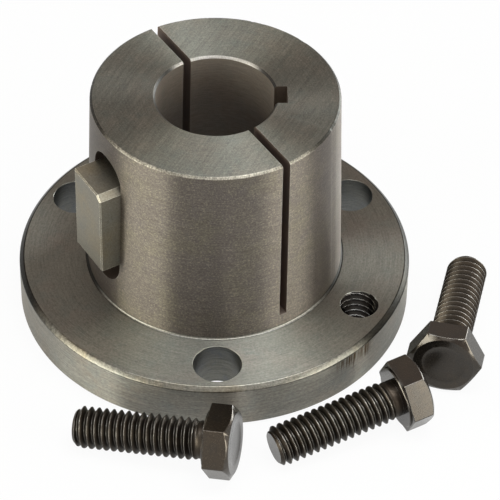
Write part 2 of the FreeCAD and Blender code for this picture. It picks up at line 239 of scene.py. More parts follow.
class Graph:
    """Adds nodes to a tree and links them, one value or socket at a time."""

    def __init__(self, tree: bpy.types.NodeTree) -> None:
        """Starts on a shader or geometry tree."""
        self.tree = tree
        self.prefix = "GeometryNode" if tree.bl_idname == "GeometryNodeTree" else "ShaderNode"

    @classmethod
    def inside(cls, holder: bpy.types.Material | bpy.types.World) -> "Graph":
        """Starts on the emptied tree of a material or of the world.

        Args:
            holder: The material or world.
        Returns:
            The graph.
        """
        holder.use_nodes = True
        holder.node_tree.nodes.clear()
        return cls(holder.node_tree)

    def add(self, kind: str, inputs: dict | None = None, **settings: object) -> bpy.types.Node:
        """Adds a node.

        Args:
            kind: The node's type, whole or without its prefix.
            inputs: Values or sockets for its inputs, by name or number.
            settings: Its own properties.
        Returns:
            The node.
        """
        node = self.tree.nodes.new(kind if "Node" in kind else self.prefix + kind)
        for key, value in settings.items():
            setattr(node, key, value)
        for key, value in (inputs or {}).items():
            self.feed(node.inputs[key], value)
        return node

    def feed(self, socket: Socket, value: Value | Sequence[float]) -> None:
        """Links an input to another socket, or sets its own value.

        Args:
            socket: The input.
            value: A socket or a value. A colour may leave out its alpha.
        """
        if isinstance(value, Socket):
            self.tree.links.new(value, socket)
        elif socket.type == "RGBA" and len(value) == 3:
            socket.default_value = (*value, 1.0)
        else:
            socket.default_value = value

    def given(self, inputs: dict[str, object]) -> Sequence[Socket]:
        """Gives the tree named inputs.

        Args:
            inputs: A value to start from for each name, or None for a material.
        Returns:
            What they bring, by name.
        """
        kinds = {int: "Int", float: "Float", Vector: "Vector", tuple: "Color", type(None): "Material"}
        for label, value in inputs.items():
            kind = kinds[type(value)]
            socket = self.tree.interface.new_socket(label, in_out="INPUT", socket_type=f"NodeSocket{kind}")
            if value is not None:
                socket.default_value = value
        return self.add("NodeGroupInput").outputs

    def result(self, outputs: dict[str, Socket]) -> bpy.types.NodeTree:
        """Gives the tree named outputs.

        Args:
            outputs: What each name puts out.
        Returns:
            The whole tree.
        """
        kinds = {"VALUE": "Float", "VECTOR": "Vector", "RGBA": "Color", "GEOMETRY": "Geometry"}
        for label, value in outputs.items():
            kind = kinds[value.type]
            self.tree.interface.new_socket(label, in_out="OUTPUT", socket_type=f"NodeSocket{kind}")
        self.add("NodeGroupOutput", outputs)
        return self.tree

    def math(self, operation: str, *values: Value, clamp: bool = False) -> Socket:
        """Returns the result of a Math node fed with these values."""
        node = self.add("ShaderNodeMath", dict(enumerate(values)), operation=operation, use_clamp=clamp)
        return node.outputs[0]

    def plus(self, first: Value, second: Value) -> Socket:
        """Returns the sum of two values."""
        return self.math("ADD", first, second)

    def minus(self, first: Value, second: Value) -> Socket:
        """Returns the first value less the second."""
        return self.math("SUBTRACT", first, second)

    def times(self, first: Value, second: Value) -> Socket:
        """Returns the product of two values."""
        return self.math("MULTIPLY", first, second)

    def circle(self, angle: Socket, radius: Value) -> list[Socket]:
        """Returns the two coordinates of a point at an angle on a circle."""
        return [self.times(radius, self.math(turn, angle)) for turn in ("COSINE", "SINE")]

    def group(self, tree: bpy.types.NodeTree, inputs: dict | None = None) -> Sequence[Socket]:
        """Returns what a group puts out for these inputs."""
        return self.add("Group", inputs, node_tree=tree).outputs

    def xyz(self, *values: Value) -> Socket:
        """Returns a vector of three numbers."""
        return self.add("ShaderNodeCombineXYZ", dict(enumerate(values))).outputs[0]

    def split(self, vector: Socket) -> Sequence[Socket]:
        """Returns a vector's three numbers."""
        return self.add("ShaderNodeSeparateXYZ", {0: vector}).outputs

    def scaled(self, vector: Socket, factor: Value) -> Socket:
        """Returns a vector or colour times a factor."""
        return self.add("VectorMath", {0: vector, "Scale": factor}, operation="SCALE").outputs[0]

    def place(self, scale: float = 1.0) -> Socket:
        """Returns a point's place on its piece, in metres times a scale."""
        place = self.add("TexCoord").outputs["Object"]
        return place if scale == 1.0 else self.scaled(place, scale)

    def noise(self, place: Socket, scale: Value, detail: float = 2.0, roughness: float = 0.5) -> Socket:
        """Soft random values over a place.

        Args:
            place: A vector, or a number for values along a line.
            scale: How fine they are.
            detail: How many finer layers are added.
            roughness: How strong those layers are.
        Returns:
            The values.
        """
        line = place.type == "VALUE"
        inputs = {"W" if line else "Vector": place, "Scale": scale, "Detail": detail, "Roughness": roughness}
        return self.add("TexNoise", inputs, noise_dimensions="1D" if line else "3D").outputs[0]

    def remap(self, value: Value, low: Value, high: Value, to_low: float = 0.0, to_high: float = 1.0,
              smooth: bool = False) -> Socket:
        """Maps a range of values onto another, clamped at both ends.

        Args:
            value: What is mapped.
            low: The value that becomes to_low.
            high: The value that becomes to_high.
            to_low: The result's one end.
            to_high: The result's other end.
            smooth: Whether the change eases in and out.
        Returns:
            The result.
        """
        return self.add("ShaderNodeMapRange", dict(enumerate((value, low, high, to_low, to_high))),
                        interpolation_type="SMOOTHSTEP" if smooth else "LINEAR").outputs[0]

    def between(self, value: Value, low: Value, high: Value, fades: tuple[float, float]) -> Socket:
        """Marks where a value lies between two others.

        Args:
            value: The value.
            low: Where the mark starts.
            high: Where it ends.
            fades: How far it fades in and out, inside of both.
        Returns:
            The mark.
        """
        rise = self.remap(value, low, self.plus(low, fades[0]))
        fall = self.remap(value, high, self.minus(high, fades[1]))
        return self.times(rise, fall)

    def blend(self, share: Value, first: Socket | Colour, second: Socket | Colour) -> Socket:
        """Mixes two colours.

        Args:
            share: The share of the second.
            first: One colour.
            second: The other.
        Returns:
            The mixed colour.
        """
        node = self.add("ShaderNodeMix", {0: share}, data_type="RGBA")
        for socket, colour in zip([end for end in node.inputs if end.type == "RGBA"], (first, second)):
            self.feed(socket, colour)
        return next(socket for socket in node.outputs if socket.type == "RGBA")


# Threads


THREAD_LENGTHS = ("pitch", "start", "end", "crest_radius", "root_radius", "neck_radius", "run_out",
                  "tip_radius", "mouth_radius")


@dataclass
class Thread:
    """One right-handed thread about the Z axis, as an open skin between two heights."""

    pitch: float
    start: float
    end: float
    crest_radius: float
    root_radius: float
    neck_radius: float
    run_out: float
    tip_radius: float
    mouth_radius: float = 0.0
    segments: int = 96
    rows_per_pitch: int = 12

    def skin(self, tree: bpy.types.NodeTree) -> Shape:
        """Runs the thread tree with this thread's values.

        Args:
            tree: The thread tree.
        Returns:
            The thread's open skin.
        """
        carrier = mesh_object("thread", bmesh.new())
        step = carrier.modifiers.new("thread", "NODES")
        step.node_group = tree
        wanted = {"segments": self.segments, "pitches": math.ceil((self.end - self.start) / self.pitch) + 2}
        wanted |= {name: getattr(self, name) * MM for name in THREAD_LENGTHS}
        for item in tree.interface.items_tree:
            if item.name in wanted:
                step[item.identifier] = wanted[item.name]
        apply_modifiers(carrier)
        shape = bmesh.new()
        shape.from_mesh(carrier.data)
        bpy.data.objects.remove(carrier)
        return shape


def thread_tree() -> bpy.types.NodeTree:
    """Builds the tree that makes a thread's skin.

    Rows of a grid follow the helix, so that crest and root are crisp lines. Past either end a row is held at
    that end's height, and the points that then fall together are merged.

    Returns:
        The tree.
    """
    graph = Graph(bpy.data.node_groups.new("thread", "GeometryNodeTree"))
    given = graph.given({"segments": Thread.segments, "pitches": 20, **dict.fromkeys(THREAD_LENGTHS, MM),
                         "material": None})
    pitch, start, end, crest, root, neck, run_out, tip, mouth = (given[name] for name in THREAD_LENGTHS)
    rows = graph.times(given["pitches"], Thread.rows_per_pitch)
    grid = graph.add("MeshGrid", {"Size X": 1.0, "Size Y": 1.0,
                                  "Vertices X": graph.plus(given["segments"], 1.0),
                                  "Vertices Y": graph.plus(rows, 1.0)})
    across, along, _ = graph.split(graph.add("InputPosition").outputs[0])
    share = graph.plus(across, 0.5)
    row = graph.math("ROUND", graph.times(graph.plus(along, 0.5), rows))
    phase = graph.math("FRACT", graph.math("DIVIDE", graph.plus(row, 0.5), Thread.rows_per_pitch))
    from_crest = graph.math("ABSOLUTE", graph.minus(phase, 0.5))
    half_row = 0.5 / Thread.rows_per_pitch
    cut = graph.remap(from_crest, 0.5 - half_row, half_row)
    pitches_up = graph.math("DIVIDE", row, Thread.rows_per_pitch)
    turns = graph.plus(pitches_up, graph.minus(share, 1.0))
    free_height = graph.math("MULTIPLY_ADD", turns, pitch, start)
    height = graph.math("MINIMUM", graph.math("MAXIMUM", free_height, start), end)
    full = graph.math("MULTIPLY_ADD", cut, graph.minus(crest, root), root)
    formed = graph.math("DIVIDE", graph.minus(height, start), run_out, clamp=True)
    faded = graph.math("MULTIPLY_ADD", graph.minus(full, neck), formed, neck)
    below_end = graph.minus(end, height)
    radius = graph.math("MINIMUM", faded, graph.plus(tip, below_end))
    radius = graph.math("MAXIMUM", radius, graph.minus(mouth, below_end))
    angle = graph.times(share, TURN)
    position = graph.xyz(*graph.circle(angle, radius), height)
    placed = graph.add("SetPosition", {"Geometry": grid.outputs["Mesh"], "Position": position})
    merged = graph.add("MergeByDistance", {"Geometry": placed.outputs[0], "Distance": 2 * SAME_PLACE})
    whole = graph.add("RealizeInstances", {"Geometry": merged.outputs[0]})
    dressed = graph.add("SetMaterial", {"Geometry": whole.outputs[0], "Material": given["material"]})
    return graph.result({"geometry": dressed.outputs[0]})


# Finishes


class Marks(Enum):
    """How the marks of the last tool run."""

    TURNED = "turned"
    FACED = "faced"
    STRAIGHT = "straight"
    BORED = "bored"
    NONE = "none"


@dataclass(frozen=True)
class MetalFinish:
    """One metal surface: its colours, how rough it is, which marks its tool left, its edge strips lightened
    partly by abrasion and partly as a painted highlight, and the shade painted into its hollows.

    An edge with a painted highlight arc is painted bright between two angles in radians round the bore, where
    light falls on it, and dull elsewhere.
    """

    name: str
    colour: Colour
    warm: Colour
    cool: Colour
    roughness: float
    marks: Marks
    mark_height: float
    grain_height: float
    # colour of the edge strips: partly abrasion, partly a painted highlight along crisp edges and thread
    # crests
    edge: Colour = (0.52, 0.51, 0.47)
    roughness_spread: float = 0.08
    wear_and_highlight: float = 0.5
    wear_and_highlight_radius: float = 0.12
    speckle: float = 0.3
    brushed: float = 0.0
    lines: float = 0.14
    # light flecks in the grain: partly the iron's own tone, partly painted glints where the grain sparkles
    glint_fleck: Colour = (0.42, 0.38, 0.26)
    glint_flecks: float = 0.0
    # share of painted shade in hollows, darkening deep spots such as thread roots
    cavity_shade: float = 0.0
    coat: float = 0.0
    stained: bool = False
    scored: bool = False
    # painted highlight: the angles round the bore between which the edge is painted bright
    painted_highlight_arc: tuple[float, float] | None = None


TURNED_IRON = MetalFinish("turned_iron", (0.136, 0.120, 0.106), (0.146, 0.131, 0.104), (0.126, 0.112, 0.103),
                          0.40, Marks.TURNED, 0.012, 0.014, speckle=0.6, brushed=0.95, lines=0.34,
                          glint_flecks=0.25)
FLANGE_IRON = MetalFinish("flange_iron", (0.172, 0.170, 0.150), (0.184, 0.170, 0.150), (0.160, 0.166, 0.150),
                          0.42, Marks.FACED, 0.014, 0.010, speckle=0.5, brushed=0.95, lines=0.3)
RIM_IRON = MetalFinish("rim_iron", (0.228, 0.220, 0.194), (0.242, 0.220, 0.186), (0.214, 0.217, 0.198),
                       0.44, Marks.TURNED, 0.014, 0.012, speckle=0.55, brushed=0.75, lines=0.5, stained=True)
# The eased, fillet, nicked and mouth finishes carry painted highlight arcs, bright only on the stretch where
# light falls on them
EASED_IRON = MetalFinish("eased_iron", (0.14, 0.136, 0.120), (0.16, 0.142, 0.108), (0.125, 0.125, 0.113),
                         0.32, Marks.TURNED, 0.005, 0.007, wear_and_highlight=0.0, speckle=0.9, painted_highlight_arc=(-2.65, -0.8))
FILLET_IRON = MetalFinish("fillet_iron", (0.13, 0.127, 0.115), (0.14, 0.13, 0.11), (0.12, 0.12, 0.11),
                          0.32, Marks.TURNED, 0.004, 0.006, wear_and_highlight=0.0, speckle=0.8, painted_highlight_arc=(-2.65, -0.6))
NICKED_IRON = MetalFinish("nicked_iron", (0.24, 0.230, 0.198), (0.36, 0.342, 0.290), (0.15, 0.145, 0.124),
                          0.34, Marks.TURNED, 0.004, 0.006, wear_and_highlight=0.0, speckle=1.4, painted_highlight_arc=(-2.6, -0.75))
MOUTH_IRON = MetalFinish("mouth_iron", (0.30, 0.29, 0.275), (0.32, 0.30, 0.265), (0.27, 0.27, 0.265),
                         0.4, Marks.TURNED, 0.004, 0.006, wear_and_highlight=0.0, speckle=0.6, painted_highlight_arc=(0.8, 2.3))
MILLED_IRON = MetalFinish("milled_iron", (0.075, 0.058, 0.048), (0.08, 0.06, 0.046), (0.07, 0.056, 0.048),
                          0.7, Marks.STRAIGHT, 0.02, 0.01, (0.25, 0.23, 0.20), 0.1, wear_and_highlight=0.2)
SMALL_END_IRON = MetalFinish("small_end_iron", (0.140, 0.140, 0.124), (0.160, 0.150, 0.130),
                             (0.126, 0.133, 0.120), 0.50, Marks.FACED, 0.012, 0.012, speckle=0.55,
                             brushed=0.85, lines=0.25, glint_flecks=0.08, scored=True)
BORED_IRON = MetalFinish("bored_iron", (0.18, 0.157, 0.136), (0.185, 0.155, 0.130), (0.17, 0.155, 0.136),
                         0.75, Marks.TURNED, 0.016, 0.006, (0.45, 0.43, 0.40), wear_and_highlight=0.1, lines=0.3)
SAWN_IRON = MetalFinish("sawn_iron", (0.18, 0.14, 0.12), (0.19, 0.144, 0.115), (0.16, 0.134, 0.12),
                        0.65, Marks.STRAIGHT, 0.02, 0.01, (0.22, 0.20, 0.17), 0.1, wear_and_highlight=0.2)
DRILLED_IRON = MetalFinish("drilled_iron", (0.150, 0.154, 0.148), (0.16, 0.158, 0.14), (0.135, 0.142, 0.150),
                           0.34, Marks.BORED, 0.05, 0.01, (0.55, 0.55, 0.54), 0.1, wear_and_highlight=0.2, lines=0.5)
# Tapped thread: its near-black colour paints the shade inside the hole, its near-white edge colour paints
# highlights on the crests, and the darkening of its roots paints shade there
TAPPED_IRON = MetalFinish("tapped_iron", (0.026, 0.025, 0.024), (0.025, 0.023, 0.02), (0.024, 0.024, 0.026),
                          0.2, Marks.NONE, 0.0, 0.002, (0.95, 0.95, 0.94), 0.05, wear_and_highlight=1.0, wear_and_highlight_radius=0.2,
                          cavity_shade=0.95)
# key edges: the near-white edge colour is partly abrasion, partly a painted highlight along the edges
KEY_STEEL = MetalFinish("key_steel", (0.205, 0.190, 0.155), (0.225, 0.196, 0.142), (0.186, 0.180, 0.156),
                        0.46, Marks.NONE, 0.0, 0.010, (0.95, 0.92, 0.82), wear_and_highlight=0.9, speckle=0.5)
BLACK_OXIDE = MetalFinish("black_oxide", (0.046, 0.039, 0.032), (0.053, 0.043, 0.033), (0.040, 0.036, 0.032),
                          0.26, Marks.NONE, 0.0, 0.004, (0.17, 0.165, 0.15), 0.06, wear_and_highlight=0.9, wear_and_highlight_radius=0.1,
                          speckle=0.15, coat=0.45)
# thread: light crest strips are partly abrasion, partly a painted highlight; the darkening of the roots paints
# shade there
THREAD_OXIDE = MetalFinish("thread_oxide", (0.046, 0.038, 0.031), (0.052, 0.041, 0.032),
                           (0.040, 0.035, 0.030), 0.42, Marks.NONE, 0.0, 0.004, (0.40, 0.39, 0.365), 0.06,
                           wear_and_highlight=1.0, wear_and_highlight_radius=0.11, speckle=0.15, cavity_shade=0.6)


@dataclass
class MetalShop:
    """Makes one material for each finish, out of shader groups that are built once. Angles are in radians."""

    # near-black colour of the painted shade in hollows
    recess_shade_colour: Colour = (0.010, 0.009, 0.008)
    dried_oil: Colour = (0.058, 0.033, 0.009)
    coat_roughness: float = 0.12
    marks_radius: float = 20.0
    rim_radius: float = 37.5
    streak_spacing: float = 0.62
    # how a painted highlight arc fades in at its ends, and how dark the edge is painted outside it
    highlight_fade: float = 0.15
    outside_highlight_share: float = 0.15
    brush_turn: float = 0.25
    edge_samples: int = 6
    speckle_scale: float = 3.2
    wear_and_highlight_scale: float = 900.0
    streak_raggedness: float = 5.0
    score_turn: float = math.radians(-63)
    score_size: tuple[float, float] = (0.4, 9.0)
    score_shades: tuple[float, float] = (0.88, 1.12)
    saw_turn: float = math.radians(-65)
    made: dict[str, bpy.types.Material] = field(default_factory=dict)

    @staticmethod
    def new_group(name: str) -> Graph:
        """Returns the graph of a new shader group."""
        return Graph(bpy.data.node_groups.new(name, "ShaderNodeTree"))

    @cached_property
    def polar(self) -> bpy.types.NodeTree:
        """Group that gives a point's place round, out from and along the bore, in millimetres."""
        graph = self.new_group("polar_place")
        x, y, z = graph.split(graph.place(1 / MM))
        angle = graph.math("ARCTAN2", y, x)
        radius = graph.math("SQRT", graph.math("MULTIPLY_ADD", x, x, graph.times(y, y)))
        around = graph.circle(angle, self.marks_radius)
        return graph.result({"Turned": graph.xyz(*around, z), "Faced": graph.xyz(*around, radius),
                             "Angle": angle, "Height": z})

    @cached_property
    def patina(self) -> bpy.types.NodeTree:
        """Group that drifts between three colours over a few millimetres."""
        graph = self.new_group("patina")
        grey = (0.2, 0.2, 0.2, 1.0)
        given = graph.given({"Plain": grey, "Warm": grey, "Cool": grey, "Size": 8.0})
        scale = graph.math("DIVIDE", 1 / MM, given["Size"])
        large = graph.noise(graph.place(), scale, 3.0, 0.6)
        small = graph.noise(graph.place(), graph.times(scale, 2.3), 4.0, 0.65)
        warmed = graph.blend(graph.remap(large, 0.45, 0.7), given["Plain"], given["Warm"])
        return graph.result({"Color": graph.blend(graph.remap(small, 0.5, 0.72), warmed, given["Cool"])})

    @cached_property
    def tool_marks(self) -> bpy.types.NodeTree:
        """Group of fine marks that run across the third axis of a place in millimetres."""
        graph = self.new_group("tool_marks")
        given = graph.given({"Place": Vector(), "Spacing": 0.25, "Length": 4.0})
        across, along = (graph.math("DIVIDE", 1.0, given[name]) for name in ("Spacing", "Length"))
        drawn = graph.add("VectorMath", {0: given["Place"], 1: graph.xyz(along, along, across)},
                          operation="MULTIPLY").outputs[0]
        return graph.result({"Marks": graph.noise(drawn, 1.0, 3.0, 0.7),
                             "Speckle": graph.noise(given["Place"], self.speckle_scale, 3.0, 0.8)})

    @cached_property
    def edge_wear(self) -> bpy.types.NodeTree:
        """Group that marks the narrow strips beside crisp outer edges, lightened partly for abrasion and
        partly as a painted highlight.
        """
        graph = self.new_group("edge_wear")
        given = graph.given({"Radius": 0.0001})
        soft = graph.add("Bevel", {"Radius": given["Radius"]}, samples=self.edge_samples).outputs[0]
        true = graph.add("NewGeometry").outputs["Normal"]
        aligned = graph.add("VectorMath", {0: soft, 1: true}, operation="DOT_PRODUCT").outputs["Value"]
        uneven = graph.remap(graph.noise(graph.place(), self.wear_and_highlight_scale, 3.0), 0.35, 0.6, 0.35, 1.0)
        worn_and_lit = graph.remap(aligned, 0.995, 0.90)
        return graph.result({"Mask": graph.math("MULTIPLY", worn_and_lit, uneven, clamp=True)})

    @cached_property
    def hollow(self) -> bpy.types.NodeTree:
        """Group that marks where a surface lies deep between its neighbours, for painted shade in hollows."""
        graph = self.new_group("hollow")
        given = graph.given({"Reach": 0.0015})
        seen = graph.add("AmbientOcclusion", {"Distance": given["Reach"]}, samples=self.edge_samples,
                         only_local=True).outputs["AO"]
        return graph.result({"Mask": graph.remap(seen, 0.95, 0.5)})

    @cached_property
    def rim_stain(self) -> bpy.types.NodeTree:
        """Group that marks short upright streaks of dried oil on one stretch of the flange's rim."""
        graph = self.new_group("rim_stain")
        given = graph.given({"Angle": 0.0, "Height": 0.0, "From": -0.95, "To": -0.68, "Foot": 5.5,
                             "Top": 8.7})
        across = graph.times(given["Angle"], self.rim_radius / self.streak_spacing)
        streaks = graph.remap(graph.noise(across, 1.0, 2.0, 0.6), 0.44, 0.55)
        uneven = graph.minus(graph.noise(graph.times(across, 0.7), 1.3), 0.5)
        foot = graph.plus(given["Foot"], graph.times(uneven, self.streak_raggedness))
        inside = graph.between(given["Angle"], given["From"], given["To"], (0.04, 0.03))
        upright = graph.between(given["Height"], foot, given["Top"], (1.6, 0.25))
        return graph.result({"Mask": graph.times(graph.times(inside, upright), streaks)})

    def scored(self, graph: Graph, place: Socket, colour: Socket) -> Socket:
        """Draws faint straight handling marks over a face across the bore.

        Args:
            graph: The material's graph.
            place: A point's place in millimetres.
            colour: The colour without the marks.
        Returns:
            The colour with the marks.
        """
        turned = graph.add("VectorRotate", {"Vector": place, "Angle": self.score_turn},
                           rotation_type="Z_AXIS").outputs[0]
        along, across, height = graph.split(turned)
        size = dict(zip(("Spacing", "Length"), self.score_size))
        marks = graph.group(self.tool_marks, {"Place": graph.xyz(along, height, across), **size})["Marks"]
        return graph.scaled(colour, graph.remap(marks, 0.35, 0.65, *self.score_shades))

    def painted_highlight_arc(self, graph: Graph, angle: Socket, colour: Socket, reach: tuple[float, float]) -> Socket:
        """Paints a highlight on an edge: bright between two angles round the bore, where light falls on it,
        and dull elsewhere.

        Args:
            graph: The material's graph.
            angle: A point's angle round the bore.
            colour: The bright colour.
            reach: The angles between which the edge is bright.
        Returns:
            The colour all round.
        """
        ends = [graph.remap(angle, limit - fade, limit + fade, self.outside_highlight_share, 1.0, smooth=True)
                for limit, fade in zip(reach, (self.highlight_fade, -self.highlight_fade))]
        return graph.scaled(colour, graph.math("MINIMUM", *ends))

    def place_of_marks(self, graph: Graph, marks: Marks, polar: Sequence[Socket], own: Socket) -> Socket:
        """Chooses the place whose third axis the tool's marks run across.

        Args:
            graph: The material's graph.
            marks: How the marks run.
            polar: What the polar group puts out.
            own: A point's place in millimetres.
        Returns:
            The place.
        """
        if marks is Marks.STRAIGHT:
            turn = (math.radians(90), 0.0, self.saw_turn)
            return graph.add("Mapping", {"Vector": own, "Rotation": turn}, vector_type="POINT").outputs[0]
        return {Marks.TURNED: polar["Turned"], Marks.FACED: polar["Faced"]}.get(marks, own)

    def colour(self, graph: Graph, finish: MetalFinish, polar: Sequence[Socket], own: Socket,
               grain: Sequence[Socket]) -> Socket:
        """Builds a finish's colour, layer by layer.

        Args:
            graph: The material's graph.
            finish: The finish.
            polar: What the polar group puts out.
            own: A point's place in millimetres.
            grain: What the group of tool marks puts out.
        Returns:
            The colour.
        """
        colours = {"Plain": finish.colour, "Warm": finish.warm, "Cool": finish.cool}
        patina = graph.group(self.patina, colours)["Color"]
        shades = [graph.remap(grain[name], 0.3, 0.7, 1 - depth / 2, 1 + depth / 2)
                  for name, depth in (("Speckle", finish.speckle), ("Marks", finish.lines))]
        colour = graph.scaled(patina, graph.times(*shades))
        # painted highlight on the stretch of the edge where light falls
        if finish.painted_highlight_arc:
            colour = self.painted_highlight_arc(graph, polar["Angle"], colour, finish.painted_highlight_arc)
        if finish.scored:
            colour = self.scored(graph, own, colour)
        # painted glints: light flecks scattered through the grain, partly its own tone
        if finish.glint_flecks > 0:
            glint_flecked = graph.remap(grain["Speckle"], 0.55, 0.68, 0.0, finish.glint_flecks)
            colour = graph.blend(glint_flecked, colour, finish.glint_fleck)
        # edge strips and crests take the edge colour: partly abrasion, partly a painted highlight
        worn_and_lit = graph.group(self.edge_wear, {"Radius": finish.wear_and_highlight_radius * MM})[0]
        colour = graph.blend(graph.times(worn_and_lit, finish.wear_and_highlight), colour, finish.edge)
        # painted shade: deep spots such as thread roots are darkened towards a near-black colour
        if finish.cavity_shade > 0:
            deep = graph.group(self.hollow)[0]
            colour = graph.blend(graph.times(deep, finish.cavity_shade), colour, self.recess_shade_colour)
        if finish.stained:
            spot = {name: polar[name] for name in ("Angle", "Height")}
            stain = graph.group(self.rim_stain, spot)[0]
            colour = graph.blend(stain, colour, self.dried_oil)
        return colour

    def build(self, finish: MetalFinish) -> bpy.types.Material:
        """Builds the material of a finish.

        Args:
            finish: The finish.
        Returns:
            The new material.
        """
        material = bpy.data.materials.new(finish.name)
        graph = Graph.inside(material)
        polar = graph.group(self.polar)
        own = graph.place(1 / MM)
        place = self.place_of_marks(graph, finish.marks, polar, own)
        grain = graph.group(self.tool_marks, {"Place": place})
        roughness = graph.math("MULTIPLY_ADD", graph.minus(grain["Speckle"], 0.5),
                               2 * finish.roughness_spread, finish.roughness)
        height = graph.plus(graph.times(grain["Marks"], finish.mark_height * MM),
                            graph.times(grain["Speckle"], finish.grain_height * MM))
        bump = graph.add("Bump", {"Height": height, "Strength": 1.0, "Distance": 1.0}).outputs[0]
        round_bore = graph.add("Tangent", direction_type="RADIAL", axis="Z").outputs[0]
        metal = graph.add("BsdfPrincipled", {
            "Base Color": self.colour(graph, finish, polar, own, grain), "Metallic": 1.0,
            "Roughness": roughness, "Anisotropic": finish.brushed, "Anisotropic Rotation": self.brush_turn,
            "Normal": bump, "Tangent": round_bore,
            "Coat Weight": finish.coat, "Coat Roughness": self.coat_roughness})
        graph.add("OutputMaterial", {"Surface": metal.outputs[0]})
        return material

    def material(self, finish: MetalFinish) -> bpy.types.Material:
        """Returns the material of a finish, the same one each time."""
        if finish.name not in self.made:
            self.made[finish.name] = self.build(finish)
        return self.made[finish.name]


# Pieces


class Zone(Enum):
    """The surfaces of the bushing with their finishes, in the order of its material slots."""

    BARREL = TURNED_IRON
    FLANGE_FACE = FLANGE_IRON
    FLANGE_RIM = RIM_IRON
    SMALL_END = SMALL_END_IRON
    BORE = BORED_IRON
    SAW_CUT = SAWN_IRON
    DRILLED = DRILLED_IRON
    TAPPED = TAPPED_IRON
    MILLED = MILLED_IRON
    EASED = EASED_IRON
    FILLET = FILLET_IRON
    MOUTH = MOUTH_IRON
    NICKED = NICKED_IRON

    @property
    def slot(self) -> int:
        """Number of the surface's material slot."""
        return list(Zone).index(self)


@dataclass(frozen=True)
class Corner:
    """A rounded corner of a turned section, with the surfaces of its rounding and of the side after it."""

    radius: float
    height: float
    rounding: float
    curve: Zone
    side: Zone

    def place(self) -> Vector:
        """Returns the corner's place in the section."""
        return Vector((self.radius, self.height))


def rounded_section(corners: Sequence[Corner], steps: int = 4) -> list[tuple[float, float, int]]:
    """Closed outline of a turned section with its corners rounded.

    Args:
        corners: The corners in order.
        steps: The number of spans in each rounding.
    Returns:
        Points as radius, height and the material slot of what follows.
    """
    points = []
    for index, corner in enumerate(corners):
        here = corner.place()
        towards = (corners[index - 1].place() - here).normalized()
        onwards = (corners[(index + 1) % len(corners)].place() - here).normalized()
        half = towards.angle(onwards) / 2
        reach = corner.rounding / math.tan(half)
        middle = here + (towards + onwards).normalized() * (corner.rounding / math.sin(half))
        start, end = here + towards * reach - middle, here + onwards * reach - middle
        sweep = start.angle_signed(end)
        for step in range(steps + 1):
            arm = start.copy()
            arm.rotate(Matrix.Rotation(-sweep * step / steps, 2))
            points.append((*(middle + arm), (corner.curve if step < steps else corner.side).slot))
    return points


